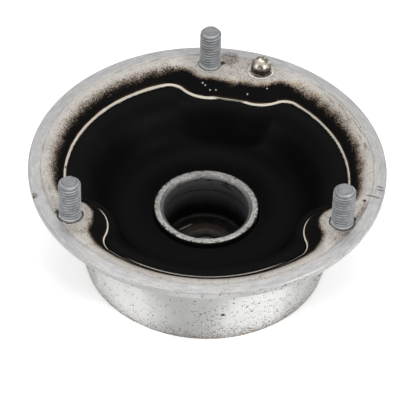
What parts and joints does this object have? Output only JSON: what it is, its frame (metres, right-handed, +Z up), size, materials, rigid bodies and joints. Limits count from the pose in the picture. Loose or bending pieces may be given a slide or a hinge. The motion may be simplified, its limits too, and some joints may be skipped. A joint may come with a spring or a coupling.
{
  "type": "strut mount",
  "caption": "Round strut mount: a pressed flanged housing with studs and a locating pin holds a bonded rubber bowl and a bearing sleeve for a damper rod.",
  "frame": {"origin": "centre of the circle that the skirt's lower edge stands on", "axes": "+Z up the mount's axis towards the studs, +Y towards the stud that has the locating pin beside it"},
  "size_m": [0.13, 0.13, 0.0606],
  "materials": {
    "housing_silver": "satin",
    "black_rubber": "satin",
    "sleeve_steel": "satin",
    "oiled_steel": "satin",
    "bearing_steel": "polished",
    "cage_plastic": "matte",
    "seal_rubber": "matte",
    "spring_steel": "satin",
    "zinc_steel": "matte",
    "bright_steel": "polished"
  },
  "bodies": {
    "mount": {"housing": "housing_silver", "rubber_bush": "black_rubber", "bearing_sleeve": "sleeve_steel", "bearing_outer_ring": "bearing_steel", "upper_seal": "seal_rubber", "lower_seal": "seal_rubber", "retaining_ring": "spring_steel", "mounting_studs": "zinc_steel", "locating_pin": "bright_steel"},
    "rod_seat": {"rod_cup": "oiled_steel", "bearing_inner_ring": "bearing_steel"},
    "ball_set": {"bearing_cage": "cage_plastic", "bearing_ball_1": "bearing_steel", "bearing_ball_2": "bearing_steel", "bearing_ball_3": "bearing_steel", "bearing_ball_4": "bearing_steel", "bearing_ball_5": "bearing_steel", "bearing_ball_6": "bearing_steel", "bearing_ball_7": "bearing_steel", "bearing_ball_8": "bearing_steel", "bearing_ball_9": "bearing_steel", "bearing_ball_10": "bearing_steel", "bearing_ball_11": "bearing_steel", "bearing_ball_12": "bearing_steel", "bearing_ball_13": "bearing_steel"}
  },
  "joints": [
    {"name": "rod_turn", "type": "hinge", "parent": "mount", "child": "rod_seat", "pos_m": [0, 0, 0.0098], "axis": [0, 0, 1], "continuous": true},
    {"name": "ball_turn", "type": "hinge", "parent": "mount", "child": "ball_set", "pos_m": [0, 0, 0.0098], "axis": [0, 0, 1], "continuous": true}
  ],
  "couplings": [
    {"joint": "ball_turn", "follows": "rod_turn", "ratio": 0.42944}
  ]
}
